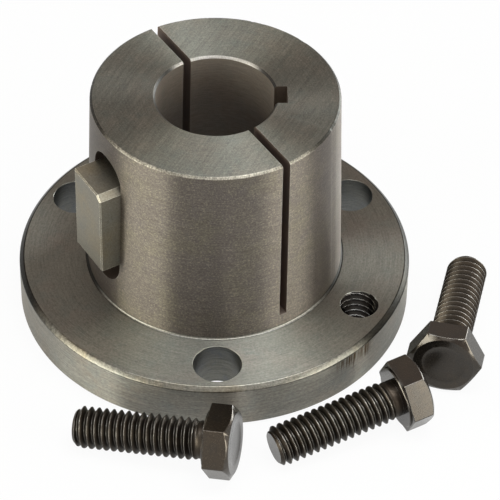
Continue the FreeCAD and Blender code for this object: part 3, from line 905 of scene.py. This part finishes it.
@dataclass
class BushingBody:
    """The turned body: flange, tapered barrel, bore, saw slots, keyway, key seat and flange holes."""

    shop: MetalShop
    segments: int = 512
    flange_thickness: float = 9.55
    front_chamfer: float = 0.8
    front_rounding: float = 0.4
    back_chamfer: float = 0.4
    foot_diameter: float = 48.7
    taper: float = 0.0625
    end_break: float = 0.4
    root_fillet: float = 0.5
    bore_chamfer: float = 0.42
    edge_rounding: float = 0.12
    slot_width: float = 1.5875
    slot_floor: float = 12.45
    slot_lean: float = 1.03
    slot_turn: float = 0.8
    keyway_width: float = 4.7625
    keyway_depth: float = 2.1375
    key_angle: float = 210.0
    key_seat_floor: float = 17.8
    key_seat_width: float = 9.565
    key_seat_ends: tuple[float, float] = (19.55, 39.05)
    hole_angles: tuple[float, ...] = (-90.0, 30.0, 150.0)
    hole_edge_break: float = 0.08
    hole_back_break: float = 0.45
    tapped_angles: tuple[float, ...] = (-30.0, 90.0)
    thread_pitch: float = 25.4 / 18
    thread_root_radius: float = 3.97
    thread_start: float = 0.001
    tapped_countersink: float = 0.08
    countersink_share: float = 0.8
    past: float = 1.0
    seat_steps: int = 24
    hole_segments: int = 128
    nick_depth: float = 0.12
    nick_drop: float = 0.6
    nick_waves: float = 9.0
    nick_threshold: float = 0.25
    nick_seed: float = 3.0
    fine_nick_waves: float = 6.0
    fine_nick_share: float = 0.6

    def __post_init__(self) -> None:
        """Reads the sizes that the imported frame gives."""
        mounts = {mount["name"]: mount["dims"] for mount in frame["record"]["mounts"] if "dims" in mount}
        low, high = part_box("bushing_body")
        self.outer_radius = round(high.y / MM, 3)
        self.length = round(high.z / MM, 3)
        self.bore_radius = mounts["shaft_bore"]["r_mm"]
        self.bolt_circle_radius = mounts["flange_bolts"]["pcd_mm"] / 2
        self.hole_radius = mounts["flange_bolts"]["hole_r_mm"]
        self.tapped_radius = mounts["jack_hole_front"]["r_mm"]
        self.small_radius = (self.foot_diameter - self.taper * (self.length - self.flange_thickness)) / 2

    def corners(self) -> list[Corner]:
        """Returns the corners of the turned section, from the bore's lower mouth outwards and up."""
        outer, small, mouth = self.outer_radius, self.small_radius, self.bore_radius + self.bore_chamfer
        face, top = self.flange_thickness, self.length
        soft, eased, end_break = self.edge_rounding, self.front_rounding, self.end_break
        return [
            Corner(mouth, 0, soft, Zone.FLANGE_FACE, Zone.FLANGE_FACE),
            Corner(outer - self.back_chamfer, 0, soft, Zone.FLANGE_RIM, Zone.FLANGE_RIM),
            Corner(outer, self.back_chamfer, soft, Zone.FLANGE_RIM, Zone.FLANGE_RIM),
            Corner(outer, face - self.front_chamfer, eased, Zone.EASED, Zone.EASED),
            Corner(outer - self.front_chamfer, face, eased, Zone.EASED, Zone.FLANGE_FACE),
            Corner(self.foot_diameter / 2, face, self.root_fillet, Zone.FILLET, Zone.BARREL),
            Corner(small + self.taper / 2 * end_break, top - end_break, soft, Zone.BARREL, Zone.NICKED),
            Corner(small - end_break, top, soft, Zone.NICKED, Zone.SMALL_END),
            Corner(mouth, top, soft, Zone.SMALL_END, Zone.MOUTH),
            Corner(self.bore_radius, top - self.bore_chamfer, soft, Zone.MOUTH, Zone.BORE),
            Corner(self.bore_radius, self.bore_chamfer, soft, Zone.BORE, Zone.BORE),
        ]

    def ring(self, radius: float, height: float) -> Ring:
        """Ring of the blank, a little uneven from handling at the small end's outer edge.

        Args:
            radius: Its radius.
            height: Its height.
        Returns:
            A function of the angle.
        """
        edge = 2 * self.end_break
        if height <= self.length - edge or radius <= self.small_radius - edge:
            return lambda _: (radius, height)

        def nicked(angle: float) -> tuple[float, float]:
            """Returns radius and height at an angle, in by a nick where there is one."""
            spot = Vector((math.cos(angle), math.sin(angle), 0)) * self.nick_waves
            seed = Vector((0, 0, self.nick_seed))
            fine = noise.noise(spot * self.fine_nick_waves + seed)
            uneven = noise.noise(spot + seed) + self.fine_nick_share * fine
            nick = self.nick_depth * max(0.0, uneven - self.nick_threshold)
            return radius - nick, height - self.nick_drop * nick
        return nicked

    def blank(self) -> Shape:
        """Returns the turned blank."""
        points = rounded_section(self.corners())
        rings = [self.ring(radius, height) for radius, height, _ in points]
        return polar_surface(rings, even_angles(self.segments), [slot for *_, slot in points])

    def keyway_cut(self) -> Shape:
        """Returns the bore's keyway, cut through from end to end."""
        half, low, high = self.keyway_width / 2, self.bore_radius / 2, self.bore_radius + self.keyway_depth
        outline = [(low, -half), (high, -half), (high, half), (low, half)]
        return extruded(outline, -self.past, self.length + self.past, Matrix(), Zone.MILLED.slot)

    def seat_cut(self) -> Shape:
        """Returns the end-milled seat of the external key."""
        half = self.key_seat_width / 2
        low, high = self.key_seat_ends
        arc = [math.pi * step / self.seat_steps for step in range(self.seat_steps + 1)]
        outline = [(half * math.cos(a), high + half * math.sin(a)) for a in arc]
        outline += [(-half * math.cos(a), low - half * math.sin(a)) for a in arc]
        stand = Matrix(((0, 0, 1, 0), (1, 0, 0, 0), (0, 1, 0, 0), (0, 0, 0, 1)))
        turn = Matrix.Rotation(math.radians(self.key_angle), 4, "Z")
        return extruded(outline, self.key_seat_floor, self.foot_diameter, turn @ stand, Zone.MILLED.slot)

    def slot_cut(self) -> Shape:
        """Returns the saw's cut through both walls of the barrel, leaning away from the key as it rises."""
        drift = math.tan(math.radians(self.slot_lean))
        lean = Matrix(((1, 0, -drift, drift * self.slot_floor), (0, 1, 0, 0), (0, 0, 1, 0), (0, 0, 0, 1)))
        turn = Matrix.Rotation(math.radians(self.key_angle + self.slot_turn), 4, "Z")
        half, reach = self.slot_width / 2, self.foot_diameter
        outline = [(-half, -reach), (half, -reach), (half, reach), (-half, reach)]
        return extruded(outline, self.slot_floor, self.length + self.past, turn @ lean, Zone.SAW_CUT.slot)

    def hole_cut(self, angle: float) -> Shape:
        """Returns a clearance hole's tool with its two broken edges, at an angle in degrees."""
        top, past, hole = self.flange_thickness, self.past, self.hole_radius
        points = [(0, -past), (hole + self.hole_back_break + past, -past), (hole, self.hole_back_break),
                  (hole, top - self.hole_edge_break), (hole + self.hole_edge_break + past, top + past),
                  (0, top + past)]
        slots = [Zone.DRILLED.slot] * len(points)
        slots[3] = Zone.FLANGE_FACE.slot        # the front edge break looks like the flange's face
        rings = [lambda _, p=point: p for point in points]
        shape = polar_surface(rings, even_angles(self.hole_segments), slots)
        return self.on_bolt_circle(shape, angle)

    def thread_cut(self, tree: bpy.types.NodeTree, angle: float) -> Shape:
        """Returns a tapped hole's tool, thread and all.

        Args:
            tree: The thread tree.
            angle: Its place on the bolt circle, in degrees.
        Returns:
            The tool.
        """
        root = self.thread_root_radius
        shape = closed(Thread(
            pitch=self.thread_pitch, start=-self.past, end=self.flange_thickness + self.past,
            crest_radius=root, root_radius=self.tapped_radius, neck_radius=root,
            run_out=self.thread_start, tip_radius=2 * root,
            mouth_radius=self.tapped_radius + self.tapped_countersink + self.past).skin(tree))
        face_height = (self.flange_thickness - self.countersink_share * self.tapped_countersink) * MM
        slots = [Zone.TAPPED.slot, Zone.FLANGE_FACE.slot]
        for face in shape.faces:
            face.material_index = slots[face.calc_center_median().z > face_height]
        return self.on_bolt_circle(shape, angle)

    def on_bolt_circle(self, shape: Shape, angle: float) -> Shape:
        """Moves a tool from the axis to its place on the bolt circle.

        Args:
            shape: The tool.
            angle: Its direction in degrees.
        Returns:
            The same tool.
        """
        turn = math.radians(angle)
        out = Vector((math.cos(turn), math.sin(turn), 0)) * self.bolt_circle_radius * MM
        bmesh.ops.translate(shape, verts=shape.verts, vec=out)
        return shape

    def build(self, tree: bpy.types.NodeTree) -> None:
        """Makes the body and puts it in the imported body's place.

        Args:
            tree: The thread tree.
        """
        piece = mesh_object("turned_bushing", self.blank())
        cuts = [self.keyway_cut(), self.seat_cut(), self.slot_cut()]
        cuts += [self.hole_cut(angle) for angle in self.hole_angles]
        cuts += [self.thread_cut(tree, angle) for angle in self.tapped_angles]
        tools = mesh_object("bushing_tools", joined(cuts))
        for zone in Zone:
            for part in (piece, tools):
                part.data.materials.append(self.shop.material(zone.value))
        boolean(piece, tools, "DIFFERENCE")
        finish_piece(piece, "bushing_body")


@dataclass
class ExternalKey:
    """The square bar key in its seat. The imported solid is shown, with a finish of its own."""

    shop: MetalShop
    node: str = "external_key"

    def dress(self) -> None:
        """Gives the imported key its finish."""
        piece = frame["nodes"][self.node]
        piece.data.materials.clear()
        piece.data.materials.append(self.shop.material(KEY_STEEL))
        log.info("%s: dressed", piece.name)


class Side(Enum):
    """The three screws by where they lie, with the direction from head to tip in degrees."""

    LEFT = ("cap_screw_left", 165.75)
    MIDDLE = ("cap_screw_middle", 204.15)
    RIGHT = ("cap_screw_right", 76.25)


@dataclass
class CapScrew:
    """A hexagon cap screw, 5/16-18 by 1 in, lying on its head's lower flat and its last full thread."""

    shop: MetalShop
    length: float = 25.0
    thread_major: float = 7.75
    thread_depth: float = 0.82
    thread_pitch: float = 25.4 / 18
    tip_chamfer: float = 0.9
    neck_diameter: float = 7.0
    neck_length: float = 1.1
    across_flats: float = 12.45
    head_height: float = 5.1
    top_inset: float = 0.475
    chamfer_slope: float = math.tan(math.radians(30))
    dish_rim: float = 1.35
    dish_depth: float = 0.3
    washer_inset: float = 0.325
    washer_height: float = 0.35
    corner_rounding: float = 0.3
    edge_rounding: float = 0.1
    sink: float = 0.6
    near: float = 0.01
    run_out_pitches: float = 1.2
    sixth: float = math.pi / 3
    flat_shares: tuple[float, ...] = (0.0, 0.12, 0.3, 0.5, 0.7, 0.88, 0.965, 0.98, 0.99, 1.0)
    dish_shares: tuple[float, ...] = (0.0, 0.45, 0.65, 0.8, 0.91, 1.0)

    def hexagon_radius(self, angle: float, half_flats: float) -> float:
        """Radius of the hexagon with rounded corners.

        Args:
            angle: The direction, counted from the middle of a flat.
            half_flats: Half the distance across flats.
        Returns:
            The radius.
        """
        soft, half_sixth = self.corner_rounding, self.sixth / 2
        from_corner = abs((angle % self.sixth) - half_sixth)
        middle = (half_flats - soft) / math.cos(half_sixth)
        tangent = math.atan2(soft * math.sin(half_sixth), middle + soft * math.cos(half_sixth))
        if from_corner > tangent:
            return half_flats / math.cos(half_sixth - from_corner)
        return middle * math.cos(from_corner) + math.sqrt(soft ** 2 - (middle * math.sin(from_corner)) ** 2)

    def head_angles(self) -> list[float]:
        """Returns angles for the head: even along the flats, close together round the corners."""
        half = [share * self.sixth / 2 for share in self.flat_shares]
        one = half + [self.sixth - at for at in reversed(half[1:-1])]
        return [side * self.sixth + at for side in range(6) for at in one]

    def head(self) -> Shape:
        """Returns the head with its chamfered corners, dished top and washer face."""
        half, soft = self.across_flats / 2, self.edge_rounding
        top, flat = -self.head_height, half - self.top_inset
        dish = flat - self.dish_rim
        washer = half - self.washer_inset

        def hexagon(inset: float, lift: float) -> Ring:
            """Returns a hexagonal ring under the head."""
            return lambda angle: (self.hexagon_radius(angle, half - inset), -self.washer_height - lift)

        def brim(inset: float) -> Ring:
            """Returns the ring where the flats meet the corner chamfer."""
            def place(angle: float) -> tuple[float, float]:
                """Returns radius and height at an angle."""
                radius = self.hexagon_radius(angle, half - inset)
                return radius, top + (radius - flat) * self.chamfer_slope + (soft if inset == 0 else 0)
            return place

        def circle(radius: float, height: float) -> Ring:
            """Returns a plain ring."""
            return lambda _: (radius, height)

        rings = [circle(share * dish, top + self.dish_depth * (1 - share ** 4)) for share in self.dish_shares]
        rings += [circle(flat, top), brim(soft), brim(0.0), hexagon(0.0, soft), hexagon(soft, 0.0),
                  circle(washer, -self.washer_height), circle(washer, -soft), circle(washer - soft, 0),
                  circle(0, 0)]
        return polar_surface(rings, self.head_angles())

    def shank(self, tree: bpy.types.NodeTree) -> Shape:
        """Returns the shank with its thread, from inside the head to the tip.

        Args:
            tree: The thread tree.
        Returns:
            The closed shank.
        """
        major = self.thread_major / 2
        shape = Thread(pitch=self.thread_pitch, start=self.neck_length, end=self.length, crest_radius=major,
                       root_radius=major - self.thread_depth, neck_radius=self.neck_diameter / 2,
                       run_out=self.run_out_pitches * self.thread_pitch,
                       tip_radius=major - self.tip_chamfer).skin(tree)
        foot = [edge for edge in shape.edges
                if edge.is_boundary and max(v.co.z for v in edge.verts) < (self.neck_length + self.near) * MM]
        raised = bmesh.ops.extrude_edge_only(shape, edges=foot)
        moved = [item for item in raised["geom"] if isinstance(item, bmesh.types.BMVert)]
        bmesh.ops.translate(shape, verts=moved, vec=(0, 0, -(self.neck_length + self.sink) * MM))
        return closed(shape)

    def lay(self, piece: bpy.types.Object, node: str, heading: float) -> None:
        """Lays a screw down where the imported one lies.

        Args:
            piece: The screw.
            node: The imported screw.
            heading: The direction from head to tip, in degrees.
        """
        run = self.length - self.tip_chamfer + self.washer_height
        tilt = math.atan2((self.across_flats - self.thread_major) / 2, run)
        turn = Matrix.Rotation(math.radians(heading), 4, "Z") @ Matrix.Rotation(math.pi / 2 + tilt, 4, "Y")
        piece.data.transform(turn)
        low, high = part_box(node)
        places = [vertex.co for vertex in piece.data.vertices]
        middle = [(min(p[axis] for p in places) + max(p[axis] for p in places)) / 2 for axis in range(2)]
        drop = low.z - min(p.z for p in places)
        shift = Vector(((low.x + high.x) / 2 - middle[0], (low.y + high.y) / 2 - middle[1], drop))
        piece.data.transform(Matrix.Translation(shift))

    def build(self, side: Side, tree: bpy.types.NodeTree) -> None:
        """Makes one screw, black at its head and tip; along its thread the crests are lightened partly for
        abrasion and partly as a painted highlight, and the roots are darkened with painted shade.

        Args:
            side: Which of the three.
            tree: The thread tree.
        """
        node, heading = side.value
        name = f"threaded_{node}"
        piece = mesh_object(name, self.head())
        shank = mesh_object(f"{name}_shank", self.shank(tree))
        for part in (piece, shank):
            for finish in (BLACK_OXIDE, THREAD_OXIDE):
                part.data.materials.append(self.shop.material(finish))
        for face in shank.data.polygons:
            face.material_index = 0 if face.center.z > (self.length - self.near) * MM else 1
        boolean(piece, shank, "UNION")
        self.lay(piece, node, heading)
        finish_piece(piece, node)


# Studio


@dataclass(frozen=True)
class Lamp:
    """A soft lamp that looks at the object: its place, width and height in metres, and its radiance."""

    name: str
    place: tuple[float, float, float]
    width: float
    height: float
    radiance: float
    colour: Colour = (0.96, 1.0, 1.0)


@dataclass
class Studio:
    """Pale floor, soft lamps, pale surroundings and the camera, whose place alone is in millimetres."""

    white: Colour = (1.0, 1.0, 1.0)
    floor_colour: Colour = (0.50, 0.50, 0.50)
    floor_size: float = 6.0
    floor_white: float = 0.94
    mirrored_white: float = 0.55
    world_level: float = 0.3
    sky_colour: Colour = (0.66, 0.58, 0.52)
    sky_from: float = 0.02
    sky_to: float = 0.30
    camera_place: tuple[float, float, float] = (-8.79, -404.46, 387.07)
    camera_yaw: float = 2.213
    camera_pitch: float = -43.016
    camera_roll: float = 1.073
    focal_pixels: float = 2869.28
    frame_pixels: float = 500.0
    sensor: float = 36.0
    clip: tuple[float, float] = (0.01, 20.0)
    lamps: tuple[Lamp, ...] = (
        Lamp("overhead_right", (0.25, -0.10, 0.94), 0.50, 0.45, 10.0),
        Lamp("overhead_left", (-0.22, -0.10, 0.95), 0.40, 0.45, 5.5),
        Lamp("front", (0.10, -0.55, 0.58), 0.8, 0.3, 1.0),
        Lamp("side_left", (-0.66, -0.38, 0.20), 0.60, 0.5, 8.6, (1.0, 0.99, 0.86)),
        Lamp("side_right", (0.67, -0.38, 0.20), 0.56, 0.5, 8.0, (1.0, 0.995, 0.90)),
        Lamp("back_right", (0.58, 0.46, 0.12), 0.35, 0.4, 10.0),
    )

    def camera(self) -> None:
        """Puts the camera where the photograph was taken from."""
        yaw, pitch, roll = (math.radians(a) for a in (self.camera_yaw, self.camera_pitch, self.camera_roll))
        right = Vector((math.cos(yaw), -math.sin(yaw), 0))
        ahead = Vector((math.sin(yaw) * math.cos(pitch), math.cos(yaw) * math.cos(pitch), math.sin(pitch)))
        over = right.cross(ahead)
        side = right * math.cos(roll) + over * math.sin(roll)
        upward = over * math.cos(roll) - right * math.sin(roll)
        lens = bpy.data.cameras.new("camera")
        lens.sensor_width = self.sensor
        lens.lens = self.focal_pixels / self.frame_pixels * self.sensor
        lens.clip_start, lens.clip_end = self.clip
        camera = bpy.data.objects.new("camera", lens)
        turn = Matrix((side, upward, -ahead)).transposed().to_4x4()
        camera.matrix_world = Matrix.Translation(Vector(self.camera_place) * MM) @ turn
        bpy.context.scene.collection.objects.link(camera)
        bpy.context.scene.camera = camera

    def light(self) -> None:
        """Hangs the lamps round the object."""
        for lamp in self.lamps:
            light = bpy.data.lights.new(lamp.name, "AREA")
            light.shape = "RECTANGLE"
            light.size = lamp.width
            light.size_y = lamp.height
            light.energy = lamp.radiance * math.pi * lamp.width * lamp.height
            light.color = lamp.colour
            holder = bpy.data.objects.new(lamp.name, light)
            place = Vector(lamp.place)
            facing = place.to_track_quat("Z", "Y").to_matrix().to_4x4()
            holder.matrix_world = Matrix.Translation(place) @ facing
            bpy.context.scene.collection.objects.link(holder)

    @staticmethod
    def seen(graph: Graph, mirrored_share: float) -> Socket:
        """Marks what the camera sees directly, and by a share what it sees in metal or glass.

        Args:
            graph: The graph of the material or world.
            mirrored_share: The mark of what is mirrored.
        Returns:
            The mark.
        """
        path = graph.add("LightPath").outputs
        mirrored = graph.math("MAXIMUM", path["Is Glossy Ray"], path["Is Transmission Ray"])
        return graph.math("MAXIMUM", path["Is Camera Ray"], graph.times(mirrored, mirrored_share))

    def surroundings(self) -> None:
        """Sets the pale surroundings, white where they are seen directly or in the metal."""
        world = bpy.data.worlds.new("surroundings")
        bpy.context.scene.world = world
        graph = Graph.inside(world)
        up = graph.split(graph.add("TexCoord").outputs["Generated"])[2]
        height = graph.remap(up, self.sky_from, self.sky_to, smooth=True)
        colour = graph.blend(height, self.white, self.sky_colour)
        strength = graph.remap(self.seen(graph, 1.0), 0.0, 1.0, self.world_level, 1.0)
        backdrop = graph.add("Background", {"Color": colour, "Strength": strength})
        graph.add("OutputWorld", {"Surface": backdrop.outputs[0]})

    def floor(self) -> None:
        """Lays the pale floor, which the camera sees nearly white."""
        half = self.floor_size / 2
        shape = bmesh.new()
        corners = ((-half, -half), (half, -half), (half, half), (-half, half))
        shape.faces.new([shape.verts.new((x, y, 0)) for x, y in corners])
        floor = mesh_object("floor", shape)
        material = bpy.data.materials.new("pale_floor")
        graph = Graph.inside(material)
        matt = graph.add("BsdfDiffuse", {"Color": self.floor_colour})
        white = graph.add("Emission", {"Color": self.white, "Strength": 1.0})
        share = graph.times(self.seen(graph, self.mirrored_white), self.floor_white)
        both = graph.add("MixShader", {0: share, 1: matt.outputs[0], 2: white.outputs[0]})
        graph.add("OutputMaterial", {"Surface": both.outputs[0]})
        floor.data.materials.append(material)

    def build(self) -> None:
        """Sets up the whole studio."""
        bpy.context.scene.view_settings.view_transform = "Standard"
        self.camera()
        self.light()
        self.surroundings()
        self.floor()


def main() -> None:
    """Builds the studio and every piece."""
    logging.basicConfig(level=logging.INFO, format="%(name)s: %(message)s")
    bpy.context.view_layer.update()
    Studio().build()
    shop = MetalShop()
    tree = thread_tree()
    BushingBody(shop).build(tree)
    ExternalKey(shop).dress()
    screw = CapScrew(shop)
    for side in Side:
        screw.build(side, tree)


if __name__ == "__main__":
    main()
